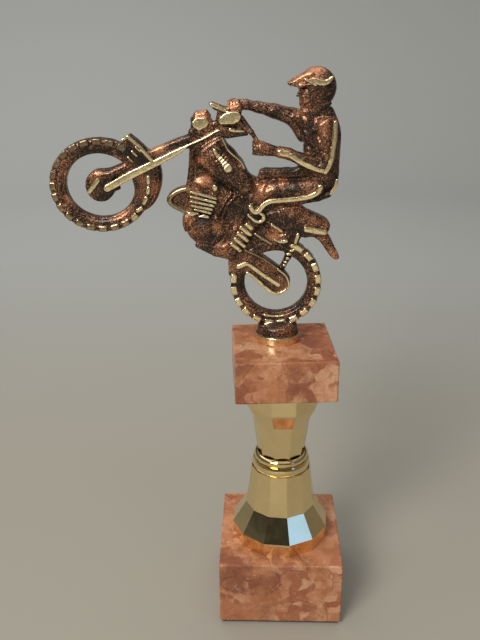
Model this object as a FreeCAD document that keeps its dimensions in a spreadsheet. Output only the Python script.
"""Column trophy: two marble blocks, a gilt faceted column and a cast motocross rider.

Units are millimetres.  The frame stands on the underside of the base pad: the origin is the
centre of that face, +Z is up, and -Y is the front.  A threaded tie rod clamps the column
between the blocks, and the rider stands on its own stud, a little off the column's axis.
"""
import FreeCAD, Part
import Sketcher
import math
import os

Vector = FreeCAD.Vector

SIZES = {
    # marble blocks and the pad under them
    "pad_thickness": 1.6,
    "pad_inset": 1.5,
    "block_width": 70.0,
    "block_height": 40.0,
    "block_edge": 1.0,
    "well_diameter": 24.0,
    "well_depth": 12.0,
    "rod_hole": 7.0,
    "cap_width": 54.0,
    "cap_height": 23.5,
    "cap_turn": 3.9,
    # gilt foot of the column, a twelve-sided shell that is widest at the bottom
    "foot_turn": -5.0,
    "foot_height": 46.0,
    "foot_base_radius": 27.9,
    "foot_rim_radius": 28.4,
    "foot_rim_height": 8.5,
    "foot_waist_radius": 20.3,
    "foot_waist_height": 21.5,
    "foot_neck_radius": 17.2,
    # round collar between foot and head: a broad lower bead, a groove and a lipped upper bead
    "collar_height": 9.5,
    "collar_seat": 4.0,
    "collar_foot_radius": 16.0,
    "collar_bead_radius": 16.6,
    "collar_shoulder_radius": 15.8,
    "collar_groove_radius": 14.7,
    "collar_groove_height": 5.3,
    "collar_upper_radius": 15.6,
    "collar_lip_radius": 13.6,
    # gilt head of the column, a ten-sided shell that is widest at the top
    "head_turn": 1.6,
    "head_height": 49.0,
    "head_neck_radius": 12.7,
    "head_waist_radius": 16.3,
    "head_waist_height": 27.0,
    "head_rim_radius": 21.3,
    "head_rim_height": 37.2,
    # walls shared by the two shells
    "shell_wall": 2.0,
    "end_wall": 3.0,
    "tube_radius": 5.5,
    "tube_bore": 3.3,
    "rib_thickness": 1.5,
    # M6 tie rod and its fasteners
    "rod_diameter": 6.0,
    "rod_tail": 2.0,
    "washer_diameter": 18.0,
    "washer_thickness": 1.6,
    "spring_diameter": 11.8,
    "spring_slot": 1.6,
    "nut_across_flats": 10.0,
    "nut_height": 5.0,
    "fastener_bore": 6.1,
    "insert_diameter": 9.5,
    "insert_length": 11.0,
    "insert_clearance": 1.0,
    "insert_groove_bottom": 4.0,
    "insert_groove_top": 7.0,
    "insert_groove_depth": 0.6,
    # rider casting and its stud
    "figure_x": -2.9,
    "figure_y": 5.4,
    "stud_diameter": 4.0,
    "stud_length": 14.0,
    "stud_in_cap": 8.0,
    "disc_radius": 12.0,
    "disc_height": 4.5,
    "mound_radius": 11.3,
    "mound_height": 9.8,
    "tyre_depth": 7.0,
    "hub_radius": 7.4,
    "hub_depth": 8.0,
    "front_wheel_x": -91.2,
    "front_wheel_z": 84.9,
    "front_tyre_long": 26.6,
    "front_tyre_short": 24.6,
    "front_rim_long": 17.7,
    "front_rim_short": 16.3,
    "rear_wheel_x": -1.2,
    "rear_wheel_z": 33.0,
    "rear_tyre_radius": 24.6,
    "rear_rim_radius": 16.7,
    "helmet_x": 17.6,
    "helmet_z": 133.0,
    "helmet_long": 9.5,
    "helmet_high": 9.3,
    "helmet_half_width": 7.4,
}

# Side outlines of the rider casting, as (x, z) from the centre of its foot, with the depth of
# each piece of relief, how far it is shifted towards the front, and its corner radius.
RELIEF = {
    "fork": (6.4, 0.0, 1.2, [
        (-97, 90), (-92, 93.8), (-86, 93.7), (-78, 96.4), (-64, 103), (-46, 110.3), (-38, 110.5),
        (-38, 103), (-45, 102.6), (-52, 99.6), (-60, 95.6), (-75, 88.7), (-82, 84.9), (-88, 81.6)]),
    "front_mudguard": (7.6, 0.0, 1.5, [
        (-79, 106), (-76.5, 109.2), (-75, 110), (-70, 106.8), (-64, 101), (-60, 95.5), (-59.6, 87),
        (-62, 79.5), (-65, 74.6), (-70, 72), (-73, 76), (-73.6, 84), (-75.8, 94)]),
    "headlamp": (7.8, 0.0, 1.6, [
        (-45, 107), (-43.7, 117), (-41, 120.6), (-36.2, 121.5), (-34.6, 118.6), (-32.4, 117.2),
        (-30, 119), (-29, 106)]),
    "handlebar": (9.2, 0.0, 1.0, [
        (-34.8, 124.8), (-31.8, 125.5), (-25.5, 125.8), (-22.5, 127), (-19.5, 126), (-18.4, 122),
        (-18.2, 118.5), (-13, 112), (-11.5, 107.4), (-15.5, 110.2), (-26, 108.4), (-31.5, 110),
        (-31, 121)]),
    "tank": (10.4, 0.0, 2.0, [
        (-40.4, 101.5), (-38, 105.5), (-29, 110), (-25.4, 105), (-18.8, 98), (-15, 90.6),
        (-10, 89), (-9, 82), (-19, 79.5), (-31, 89.8), (-37, 95.5)]),
    "frame": (7.2, 0.0, 1.5, [
        (-45, 103), (-45.3, 94), (-47.6, 82), (-46, 70), (-26, 47), (-14, 52), (3, 51), (9.8, 57),
        (13, 72.8), (6, 80), (-14, 90), (-30, 104)]),
    "exhaust_bend": (6.0, 0.0, 1.6, [
        (-46, 83.4), (-51, 82.8), (-55.5, 79.8), (-56.5, 76.8), (-53.5, 74), (-46.5, 70)]),
    "cylinder": (11.0, 0.0, 0.6, [
        (-44.8, 83.6), (-44.8, 71.5), (-35.4, 69.3), (-31.4, 80)]),
    "crankcase": (10.0, 0.0, 3.0, [
        (-48.6, 71.5), (-50.2, 65), (-47.6, 58.6), (-40, 53.3), (-27, 46), (-22, 46), (-22, 62),
        (-33, 70)]),
    "swing_arm": (8.4, 0.0, 5.0, [
        (-26, 47), (-20, 53), (-9, 48.6), (2, 40.9), (6.6, 34.5), (4.6, 27.4), (-3.5, 26.3),
        (-12, 33), (-17, 36.6), (-25.4, 36.5)]),
    "shock": (5.2, 0.0, 0.8, [
        (-1.5, 39.5), (2.4, 46), (3.4, 51.5), (6.5, 60), (12.4, 60), (9.6, 52.5), (7.3, 49.3),
        (4.4, 40)]),
    "seat": (8.8, 0.0, 1.6, [
        (2, 75), (10.5, 75.2), (15, 72.2), (22.5, 68.6), (26.7, 64.6), (25, 59.6), (13, 57),
        (2, 58)]),
    "tail_flap": (5.6, 0.0, 1.6, [
        (13, 57), (16.5, 58.4), (20.5, 56.6), (27.3, 47.4), (31, 45.6), (32.2, 47.2), (28.4, 54.6),
        (24.8, 60.6), (14, 61)]),
    "thigh": (12.4, 0.0, 2.4, [
        (-10.6, 91), (-9, 93.4), (6, 93.4), (12, 95.5), (26, 93), (29.4, 88), (26, 80.6),
        (20, 77), (10, 75), (-3, 75), (-8.5, 71.4), (-14.6, 74)]),
    "boot": (11.4, 0.0, 1.6, [
        (-14.8, 76), (-7.4, 72.6), (-7.2, 68), (-13.6, 62.6), (-19, 51.4), (-25, 54.4),
        (-20.6, 64)]),
    "torso": (12.0, 0.0, 3.0, [
        (7, 124.4), (10.5, 111), (11.6, 103), (9, 93), (24, 82), (29, 87), (30.6, 99),
        (30.3, 111), (27.6, 119.5), (24.6, 125), (10, 126.5)]),
    "far_arm": (5.0, -3.4, 1.4, [
        (-19, 126), (-14, 125.4), (-4, 125.2), (9, 122.4), (15, 116), (12, 109), (8, 113),
        (-4, 118), (-12, 121), (-19, 122.4)]),
    "near_forearm": (5.0, 3.6, 1.8, [
        (-13.2, 109.2), (-8, 106.9), (4, 104.8), (11, 103), (24, 97), (24, 91.4), (18, 92),
        (6, 97.2), (-1, 100), (-6, 99.4), (-13, 101.6)]),
    "near_upper_arm": (6.0, 4.2, 3.0, [
        (16.5, 113), (20, 118), (27.8, 117.5), (28, 104), (24.5, 91.5), (18.4, 93.5)]),
    "helmet_peak": (12.6, 0.0, 0.8, [
        (3.1, 134.6), (10, 138.6), (20, 141), (20, 132), (7.4, 132)]),
    "face_and_chin": (10.2, 0.0, 1.6, [
        (7.6, 133), (7.8, 128), (8.6, 123.4), (13, 121.6), (23, 122.4), (24.6, 128),
        (22, 134)]),
}

DRAFT = 10.0  # rough half width of a sketch until its constraints set it
CORNER_SHARE = 0.45  # most of a side that one rounded corner may use up
LEAST_CUT = 1.0  # mm3 that a pocket has to take away

doc = FreeCAD.newDocument("column_trophy")


def make_sheet():
    """Put the driving dimensions into a spreadsheet, one named cell each."""
    cells = doc.addObject("Spreadsheet::Sheet", "sizes")
    for row, (alias, value) in enumerate(SIZES.items(), start=1):
        cells.set(f"A{row}", alias)
        cells.set(f"B{row}", str(value))
        cells.setAlias(f"B{row}", alias)
    doc.recompute()
    return cells


sheet = make_sheet()

# heights of the stack, as formulas of the sheet's cells
FOOT_BOTTOM = "sizes.pad_thickness + sizes.block_height"
COLLAR_BOTTOM = FOOT_BOTTOM + " + sizes.foot_height"
HEAD_BOTTOM = COLLAR_BOTTOM + " + sizes.collar_seat"
CAP_BOTTOM = HEAD_BOTTOM + " + sizes.head_height"
CAP_TOP = CAP_BOTTOM + " + sizes.cap_height"
WASHER_BOTTOM = "sizes.pad_thickness + sizes.well_depth - sizes.washer_thickness"
SPRING_BOTTOM = WASHER_BOTTOM + " - sizes.washer_thickness"
NUT_BOTTOM = SPRING_BOTTOM + " - sizes.nut_height"
ROD_BOTTOM = NUT_BOTTOM + " - sizes.rod_tail"


def size(alias):
    """Value of a named cell."""
    return float(sheet.get(alias))


# ------------------------------------------------------------- sketches and features

def place(item, height, turn=None):
    """Stand a sub-part at a height above the origin, and turn it about its own axis."""
    if turn:
        item.Placement = FreeCAD.Placement(Vector(), FreeCAD.Rotation(Vector(0, 0, 1), size(turn)))
    item.setExpression("Placement.Base.z", height)


def new_body(name):
    """A PartDesign body whose label is the node's name."""
    body = doc.addObject("PartDesign::Body", name)
    body.Label = name
    return body


def new_sketch(body, role="XY_Plane", offset=None):
    """A sketch on one of the body's own origin planes, moved along its normal by a formula."""
    sketch = body.newObject("Sketcher::SketchObject", f"{body.Name}_sketch")
    plane = next(item for item in body.Origin.OriginFeatures if item.Role == role)
    sketch.AttachmentSupport = [(plane, "")]
    sketch.MapMode = "FlatFace"
    if offset is not None:
        sketch.setExpression("AttachmentOffset.Base.z", offset)
    return sketch


def name_constraint(sketch, constraint, name, formula):
    """Add a size constraint, name it and bind it to a formula."""
    number = sketch.addConstraint(constraint)
    sketch.renameConstraint(number, name)
    sketch.setExpression(f"Constraints.{name}", formula)


def add_circle(sketch, diameter):
    """A circle about the sketch's origin."""
    curve = sketch.addGeometry(Part.Circle(Vector(), Vector(0, 0, 1), DRAFT))
    sketch.addConstraint(Sketcher.Constraint("Coincident", curve, 3, -1, 1))
    name_constraint(sketch, Sketcher.Constraint("Diameter", curve, 2 * DRAFT), "diameter", diameter)


def add_ring(sketch, corners):
    """Straight sides through the corners, joined end to end."""
    count = len(corners)
    for index, corner in enumerate(corners):
        sketch.addGeometry(Part.LineSegment(corner, corners[(index + 1) % count]))
    for index in range(count):
        sketch.addConstraint(Sketcher.Constraint("Coincident", index, 2, (index + 1) % count, 1))


def add_square(sketch, width):
    """A square centred on the sketch's origin."""
    add_ring(sketch, [Vector(x * DRAFT, y * DRAFT) for x, y in ((-1, -1), (1, -1), (1, 1), (-1, 1))])
    for side, kind in enumerate(("Horizontal", "Vertical", "Horizontal", "Vertical")):
        sketch.addConstraint(Sketcher.Constraint(kind, side))
    sketch.addConstraint(Sketcher.Constraint("Symmetric", 0, 1, 2, 1, -1, 1))
    for side, name in enumerate(("width", "depth")):
        name_constraint(sketch, Sketcher.Constraint("Distance", side, 2 * DRAFT), name, width)


def add_polygon(sketch, sides, radius):
    """A regular polygon with one side facing -Y, given by the radius of its corners."""
    start = -math.pi / 2 - math.pi / sides
    angles = [start + 2 * math.pi * index / sides for index in range(sides)]
    add_ring(sketch, [Vector(math.cos(angle), math.sin(angle)) * DRAFT for angle in angles])
    circle = sketch.addGeometry(Part.Circle(Vector(), Vector(0, 0, 1), DRAFT), True)
    sketch.addConstraint(Sketcher.Constraint("Coincident", circle, 3, -1, 1))
    for index in range(sides):
        sketch.addConstraint(Sketcher.Constraint("PointOnObject", index, 1, circle))
        if index:
            sketch.addConstraint(Sketcher.Constraint("Equal", 0, index))
    sketch.addConstraint(Sketcher.Constraint("Horizontal", 0))
    name_constraint(sketch, Sketcher.Constraint("Radius", circle, DRAFT), "corner_radius", radius)


def rounded_outline(points, radius):
    """Edges of a closed outline whose corners are rounded as far as their sides allow."""
    corners = [Vector(*point) for point in points]
    arcs = []
    for index, corner in enumerate(corners):
        before = corners[index - 1] - corner
        after = corners[(index + 1) % len(corners)] - corner
        half = before.getAngle(after) / 2
        longest = CORNER_SHARE * min(before.Length, after.Length)
        setback = min(radius / math.tan(half), longest)
        before.normalize()
        after.normalize()
        inward = (before + after).normalize()
        to_centre = setback / math.cos(half)
        middle = corner + inward * (to_centre - setback * math.tan(half))
        arcs.append((corner + before * setback, middle, corner + after * setback))
    edges = []
    for index, (start, middle, end) in enumerate(arcs):
        edges.append(Part.Arc(start, middle, end))
        edges.append(Part.LineSegment(end, arcs[(index + 1) % len(arcs)][0]))
    return edges


def pad(body, sketch, length, symmetric=False):
    """Pad a sketch by a formula's length, to one side or half to each."""
    feature = body.newObject("PartDesign::Pad", f"{body.Name}_pad")
    feature.Profile = sketch
    feature.SideType = "Symmetric" if symmetric else "One side"
    feature.setExpression("Length", length)
    body.Tip = feature
    return feature


def check_cut(body, volume_before):
    """Stop if the last feature of a body took nothing away."""
    doc.recompute()
    if body.Shape.Volume > volume_before - LEAST_CUT:
        raise RuntimeError(f"{body.Tip.Name} cuts nothing")


def pocket(body, sketch, depth, downwards=False):
    """Cut a sketch into the body by a formula's depth, upwards unless told otherwise."""
    doc.recompute()
    before = body.Shape.Volume
    feature = body.newObject("PartDesign::Pocket", f"{body.Name}_pocket")
    feature.Profile = sketch
    feature.Reversed = not downwards
    feature.setExpression("Length", depth)
    body.Tip = feature
    check_cut(body, before)


def faceted_loft(body, kind, sides, rings):
    """Flat facets between regular polygons, each ring a corner radius and a height."""
    doc.recompute()
    before = body.Shape.Volume if kind == "Subtractive" else None
    for lower, upper in zip(rings, rings[1:]):
        sections = []
        for radius, height in (lower, upper):
            section = new_sketch(body, offset=height)
            add_polygon(section, sides, radius)
            sections.append(section)
        feature = body.newObject(f"PartDesign::{kind}Loft", f"{body.Name}_facets")
        feature.Profile = sections[0]
        feature.Sections = sections[1:]
        feature.Ruled = True
        body.Tip = feature
    if before is not None:
        check_cut(body, before)


def revolve(body, edges):
    """Turn a profile on the body's XZ plane round its own axis."""
    sketch = new_sketch(body, "XZ_Plane")
    sketch.addGeometry(edges)
    feature = body.newObject("PartDesign::Revolution", f"{body.Name}_turning")
    feature.Profile = sketch
    feature.ReferenceAxis = (sketch, ["V_Axis"])
    feature.Angle = 360
    body.Tip = feature


def path(points):
    """Straight edges through the points, back to the first one."""
    corners = [Vector(*point) for point in points]
    return [Part.LineSegment(a, b) for a, b in zip(corners, corners[1:] + corners[:1])]


# --------------------------------------------------------------------------- marble

def make_base_pad():
    """Thin felt sheet that closes the nut's well and keeps the marble off the table."""
    body = new_body("base_pad")
    sketch = new_sketch(body)
    add_square(sketch, "sizes.block_width - 2 * sizes.pad_inset")
    pad(body, sketch, "sizes.pad_thickness")


def stone_block(name, width, height):
    """A square marble block with all its edges eased."""
    body = new_body(name)
    sketch = new_sketch(body)
    add_square(sketch, width)
    block = pad(body, sketch, height)
    doc.recompute()
    easing = body.newObject("PartDesign::Fillet", f"{name}_easing")
    easing.Base = (block, [f"Edge{index + 1}" for index in range(len(block.Shape.Edges))])
    easing.setExpression("Radius", "sizes.block_edge")
    body.Tip = easing
    return body


def make_base_block():
    """Lower marble block, with the rod's hole and the nut's well underneath."""
    body = stone_block("base_block", "sizes.block_width", "sizes.block_height")
    for diameter, depth in (("well_diameter", "well_depth"), ("rod_hole", "block_height")):
        sketch = new_sketch(body)
        add_circle(sketch, f"sizes.{diameter}")
        pocket(body, sketch, f"sizes.{depth}")
    place(body, "sizes.pad_thickness")


def make_cap_block():
    """Upper marble block, with blind holes for the insert below and the stud above."""
    body = stone_block("cap_block", "sizes.cap_width", "sizes.cap_height")
    socket = new_sketch(body)
    add_circle(socket, "sizes.insert_diameter")
    pocket(body, socket, "sizes.insert_length + sizes.insert_clearance")
    # the block is turned, so the stud hole is turned back to stay under the rider
    unturn = FreeCAD.Rotation(Vector(0, 0, 1), -size("cap_turn"))
    stud_place = unturn.multVec(Vector(size("figure_x"), size("figure_y"), 0))
    stud_hole = new_sketch(body)
    stud_hole.AttachmentOffset = FreeCAD.Placement(stud_place, FreeCAD.Rotation())
    stud_hole.setExpression("AttachmentOffset.Base.z", "sizes.cap_height")
    add_circle(stud_hole, "sizes.stud_diameter")
    pocket(body, stud_hole, "sizes.stud_in_cap", downwards=True)
    place(body, CAP_BOTTOM, "cap_turn")


# ---------------------------------------------------------------------- gilt column

def add_core(body, sides, bottom, top, rings):
    """Tube round the tie rod, and crossed ribs that run out to the middle of the shell's wall."""
    tube = new_sketch(body, offset=bottom)
    add_circle(tube, "2 * sizes.tube_radius")
    pad(body, tube, f"{top} - {bottom}")
    flat = math.cos(math.pi / sides)
    side = [(size(radius) * flat - size("shell_wall") / 2, height) for radius, height in rings]
    outline = side + [(-reach, height) for reach, height in reversed(side)]
    for role in ("XZ_Plane", "YZ_Plane"):
        rib = new_sketch(body, role)
        rib.addGeometry(path(outline))
        pad(body, rib, "sizes.rib_thickness", symmetric=True)
    bore = new_sketch(body)
    add_circle(bore, "2 * sizes.tube_bore")
    pocket(body, bore, "sizes.head_height + sizes.foot_height")


def make_column_foot():
    """Lower gilt moulding: a hollow twelve-sided shell, open below and closed at its neck."""
    body = new_body("column_foot")
    sides = 12
    radii = ("foot_base_radius", "foot_rim_radius", "foot_waist_radius", "foot_neck_radius")
    heights = ("0", "sizes.foot_rim_height", "sizes.foot_waist_height", "sizes.foot_height")
    inner_heights = heights[:3] + ("sizes.foot_height - sizes.end_wall",)
    outer = [(f"sizes.{radius}", height) for radius, height in zip(radii, heights)]
    inner = [(f"sizes.{radius} - sizes.shell_wall", height)
             for radius, height in zip(radii, inner_heights)]
    faceted_loft(body, "Additive", sides, outer)
    faceted_loft(body, "Subtractive", sides, inner)
    rib_heights = (0.0, size("foot_rim_height"), size("foot_waist_height"), size("foot_height"))
    add_core(body, sides, "0", "sizes.foot_height", list(zip(radii, rib_heights)))
    place(body, FOOT_BOTTOM, "foot_turn")


def make_column_head():
    """Upper gilt moulding: a hollow ten-sided shell, closed at its neck and open above."""
    body = new_body("column_head")
    sides = 10
    radii = ("head_neck_radius", "head_waist_radius", "head_rim_radius", "head_rim_radius")
    heights = ("0", "sizes.head_waist_height", "sizes.head_rim_height", "sizes.head_height")
    inner_heights = ("sizes.end_wall",) + heights[1:]
    outer = [(f"sizes.{radius}", height) for radius, height in zip(radii, heights)]
    inner = [(f"sizes.{radius} - sizes.shell_wall", height)
             for radius, height in zip(radii, inner_heights)]
    faceted_loft(body, "Additive", sides, outer)
    faceted_loft(body, "Subtractive", sides, inner)
    rib_heights = (0.0, size("head_waist_height"), size("head_rim_height"), size("head_height"))
    add_core(body, sides, "0", "sizes.head_height", list(zip(radii, rib_heights)))
    place(body, HEAD_BOTTOM, "head_turn")


def make_column_collar():
    """Round gilt ring with a broad lower bead, a groove and a lipped upper bead."""
    body = new_body("column_collar")
    bore = size("tube_bore")
    seat = size("collar_seat")
    top = size("collar_height")
    groove = size("collar_groove_height")
    foot = Vector(size("collar_foot_radius"), 0)
    bead = Vector(size("collar_bead_radius"), groove / 2)
    shoulder = Vector(size("collar_shoulder_radius"), groove)
    root = Vector(size("collar_groove_radius"), groove)
    upper = Vector(size("collar_upper_radius"), (groove + top) / 2)
    lip = Vector(size("collar_lip_radius"), top)
    corners = [lip, Vector(lip.x, seat), Vector(bore, seat), Vector(bore, 0), foot]
    edges = [Part.Arc(foot, bead, shoulder), Part.LineSegment(shoulder, root), Part.Arc(root, upper, lip)]
    edges.extend(Part.LineSegment(start, end) for start, end in zip(corners, corners[1:]))
    revolve(body, edges)
    place(body, COLLAR_BOTTOM)


# -------------------------------------------------------------- rod and its fasteners

def round_bar(name, diameter, height):
    """A plain cylinder driven by two formulas."""
    bar = doc.addObject("Part::Cylinder", name)
    bar.setExpression("Radius", f"({diameter}) / 2")
    bar.setExpression("Height", height)
    return bar


def cut(name, base, tool):
    """One solid less another, under the base's own name for the node."""
    result = doc.addObject("Part::Cut", name)
    result.Base = base
    result.Tool = tool
    result.Label = name
    return result


def make_tie_rod():
    """M6 studding from just under the nut up into the cap block's insert."""
    length = f"{CAP_BOTTOM} + sizes.insert_length - ({ROD_BOTTOM})"
    rod = round_bar("tie_rod", "sizes.rod_diameter", length)
    rod.setExpression("Placement.Base.z", ROD_BOTTOM)


def make_rod_nut():
    """Hexagon nut in the well, drawn up against the spring washer."""
    blank = doc.addObject("Part::Prism", "nut_blank")
    blank.Polygon = 6
    blank.setExpression("Circumradius", "sizes.nut_across_flats / sqrt(3)")
    blank.setExpression("Height", "sizes.nut_height")
    bore = round_bar("nut_bore", "sizes.fastener_bore", "sizes.nut_height")
    place(cut("rod_nut", blank, bore), NUT_BOTTOM)


def make_rod_washer():
    """Large plain washer that spreads the rod's pull over the marble."""
    blank = round_bar("washer_blank", "sizes.washer_diameter", "sizes.washer_thickness")
    bore = round_bar("washer_bore", "sizes.fastener_bore", "sizes.washer_thickness")
    place(cut("rod_washer", blank, bore), WASHER_BOTTOM)


def make_spring_washer():
    """Split ring between nut and washer."""
    blank = round_bar("spring_blank", "sizes.spring_diameter", "sizes.washer_thickness")
    bore = round_bar("spring_bore", "sizes.fastener_bore", "sizes.washer_thickness")
    ring = cut("spring_ring", blank, bore)
    slot = doc.addObject("Part::Box", "spring_slot")
    slot.setExpression("Length", "sizes.spring_diameter")
    slot.setExpression("Width", "sizes.spring_slot")
    slot.setExpression("Height", "sizes.washer_thickness")
    slot.setExpression("Placement.Base.y", "-sizes.spring_slot / 2")
    place(cut("rod_spring_washer", ring, slot), SPRING_BOTTOM)


def make_cap_insert():
    """Threaded brass bush bonded into the underside of the cap block."""
    body = new_body("cap_insert")
    outer = size("insert_diameter") / 2
    bore = size("fastener_bore") / 2
    length = size("insert_length")
    depth = size("insert_groove_depth")
    bottom = size("insert_groove_bottom")
    top = size("insert_groove_top")
    revolve(body, path([
        (bore, 0), (outer, 0), (outer, bottom), (outer - depth, bottom + depth),
        (outer - depth, top - depth), (outer, top), (outer, length), (bore, length)]))
    place(body, CAP_BOTTOM)


def make_figure_stud():
    """Stud bonded into the cap block that the rider casting screws down on."""
    stud = round_bar("figure_stud", "sizes.stud_diameter", "sizes.stud_length")
    stud.setExpression("Placement.Base.x", "sizes.figure_x")
    stud.setExpression("Placement.Base.y", "sizes.figure_y")
    stud.setExpression("Placement.Base.z", f"{CAP_TOP} - sizes.stud_in_cap")


# ------------------------------------------------------------------------ rider casting

def add_foot_disc(body):
    """Round foot and the mound that the rear wheel grows out of."""
    for radius, height in (("disc_radius", "disc_height"), ("mound_radius", "mound_height")):
        sketch = new_sketch(body)
        add_circle(sketch, f"2 * sizes.{radius}")
        pad(body, sketch, f"sizes.{height}")


def add_tyre(body, x, z, outer, inner):
    """A tyre with an open middle, each outline given by its half length and half height."""
    sketch = new_sketch(body, "XZ_Plane")
    for long_radius, short_radius in (outer, inner):
        if long_radius == short_radius:
            outline = Part.Circle(Vector(x, z), Vector(0, 0, 1), long_radius)
        else:
            outline = Part.Ellipse(Vector(x, z), long_radius, short_radius)
        sketch.addGeometry(outline)
    pad(body, sketch, "sizes.tyre_depth", symmetric=True)


def add_wheels(body):
    """Both tyres, and the front hub; the rear hub is the end of the swing arm."""
    front = (size("front_wheel_x"), size("front_wheel_z"))
    add_tyre(body, *front, (size("front_tyre_long"), size("front_tyre_short")),
             (size("front_rim_long"), size("front_rim_short")))
    add_tyre(body, size("rear_wheel_x"), size("rear_wheel_z"), (size("rear_tyre_radius"),) * 2,
             (size("rear_rim_radius"),) * 2)
    hub = new_sketch(body, "XZ_Plane")
    hub.addGeometry(Part.Circle(Vector(*front), Vector(0, 0, 1), size("hub_radius")))
    return hub


def add_relief(body, name):
    """One piece of relief: a rounded side outline with its own depth and shift to the front."""
    depth, shift, radius, points = RELIEF[name]
    sketch = new_sketch(body, "XZ_Plane")
    sketch.AttachmentOffset = FreeCAD.Placement(Vector(0, 0, shift), FreeCAD.Rotation())
    sketch.addGeometry(rounded_outline(points, radius))
    feature = pad(body, sketch, f"{depth} mm", symmetric=True)
    feature.Label = f"rider_{name}"


def add_helmet(body):
    """Rounded shell of the helmet."""
    shell = body.newObject("PartDesign::AdditiveEllipsoid", "rider_helmet")
    shell.setExpression("Radius1", "sizes.helmet_high")
    shell.setExpression("Radius2", "sizes.helmet_long")
    shell.setExpression("Radius3", "sizes.helmet_half_width")
    centre = Vector(size("helmet_x"), 0, size("helmet_z"))
    shell.Placement = FreeCAD.Placement(centre, FreeCAD.Rotation())
    body.Tip = shell


def make_rider_figure():
    """Motocross rider pulling a wheelie, cast in one piece with its round foot."""
    body = new_body("rider_figure")
    add_foot_disc(body)
    hub = add_wheels(body)
    for name in RELIEF:
        add_relief(body, name)
        if name == "fork":
            pad(body, hub, "sizes.hub_depth", symmetric=True)
    add_helmet(body)
    stud_hole = new_sketch(body)
    add_circle(stud_hole, "sizes.stud_diameter")
    pocket(body, stud_hole, "sizes.stud_length - sizes.stud_in_cap")
    body.setExpression("Placement.Base.x", "sizes.figure_x")
    body.setExpression("Placement.Base.y", "sizes.figure_y")
    body.setExpression("Placement.Base.z", CAP_TOP)


NODES = (
    "base_pad", "base_block", "rod_nut", "rod_spring_washer", "rod_washer", "tie_rod",
    "column_foot", "column_collar", "column_head", "cap_insert", "cap_block", "figure_stud",
    "rider_figure",
)


def check_and_export():
    """Stop on any failed object or bad shape, then write one STEP file for each node."""
    doc.recompute()
    for item in doc.Objects:
        if "Invalid" in item.State or "Error" in item.State:
            raise RuntimeError(f"{item.Name} failed: {item.State}")
    os.makedirs("parts", exist_ok=True)
    for name in NODES:
        node = doc.getObject(name)
        shape = node.Shape
        if shape.isNull() or not shape.isValid() or len(shape.Solids) != 1:
            raise RuntimeError(f"{name} has a bad shape")
        shape.exportStep(f"parts/{name}.step")
        box = shape.BoundBox
        print(f"{name}: {shape.Volume:.0f} mm3, z {box.ZMin:.2f} to {box.ZMax:.2f}")


make_base_pad()
make_base_block()
make_cap_block()
make_column_foot()
make_column_collar()
make_column_head()
make_tie_rod()
make_rod_nut()
make_rod_washer()
make_spring_washer()
make_cap_insert()
make_figure_stud()
make_rider_figure()
check_and_export()
